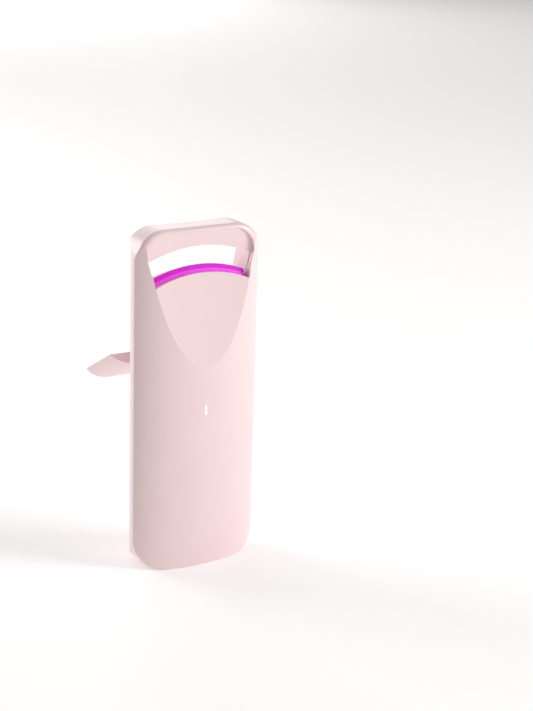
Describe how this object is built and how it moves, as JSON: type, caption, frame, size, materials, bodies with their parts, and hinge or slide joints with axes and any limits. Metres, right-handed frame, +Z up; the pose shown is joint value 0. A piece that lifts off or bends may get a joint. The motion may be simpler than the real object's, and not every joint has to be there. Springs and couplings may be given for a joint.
{
  "type": "heated eyelash curler",
  "caption": "Palm-size heated eyelash curler: upright rounded body with a lash window, rising silicone pad, fixed jaw and a fold-out squeeze lever at the back.",
  "frame": {"origin": "on the flat base, 0.3 mm behind the parting plane of the two shells, midway across the width", "axes": "+Z up along the body, -Y out of the scooped front face, +Y out of the back where the lever opens, +X to the right seen from the front"},
  "size_m": [0.04, 0.0433, 0.1],
  "materials": {
    "shell_pink": "satin moulded",
    "lever_pink": "satin moulded",
    "silicone": "soft matt",
    "white_plastic": "moulded",
    "black_plastic": "moulded",
    "clear_plastic": "clear",
    "steel": "bright",
    "spring_steel": "drawn wire",
    "aluminium": "rolled",
    "board_green": "solder mask",
    "chip_black": "moulded",
    "polyimide": "film",
    "battery_foil": "foil pouch",
    "foam": "closed foam",
    "lamp": "lens"
  },
  "bodies": {
    "casing": {"front_shell": "shell_pink", "rear_shell": "shell_pink", "chassis": "white_plastic", "chassis_screws": "steel", "circuit_board": "board_green", "board_screws": "steel", "board_parts": "chip_black", "charge_socket": "steel", "socket_tongue": "black_plastic", "battery": "battery_foil", "battery_tape": "foam", "status_led": "lamp", "light_pipe": "clear_plastic", "switch_body": "black_plastic", "guide_pins": "steel", "hinge_pin": "steel", "return_springs": "spring_steel", "heater_flex": "polyimide"},
    "crank": {"crank": "lever_pink", "hinge_washers": "steel"},
    "lever": {"lever": "lever_pink"},
    "jaw": {"jaw_carriage": "white_plastic", "heater_plate": "aluminium", "heater_film": "polyimide", "thermal_sensor": "chip_black", "lash_pad": "silicone"},
    "switch": {"switch_knob": "lever_pink"}
  },
  "joints": [
    {"name": "squeeze", "type": "hinge", "parent": "casing", "child": "crank", "pos_m": [0, 0.0067, 0.066], "axis": [-1, 0, 0], "range_deg": [0, 34]},
    {"name": "lever_fold", "type": "hinge", "parent": "crank", "child": "lever", "pos_m": [0, 0.0067, 0.066], "axis": [-1, 0, 0], "range_deg": [-118.8, 0]},
    {"name": "jaw_lift", "type": "slide", "parent": "casing", "child": "jaw", "axis": [0, 0, 1], "range_m": [0, 0.0053], "stiffness_N_per_m": 600, "springref_m": -0.0015, "deforming": ["return_springs", "heater_flex"]},
    {"name": "power_slide", "type": "slide", "parent": "casing", "child": "switch", "axis": [0, 0, 1], "range_m": [0, 0.0017]}
  ],
  "couplings": [
    {"joint": "squeeze", "follows": "jaw_lift", "rad_per_m": 111.7}
  ]
}
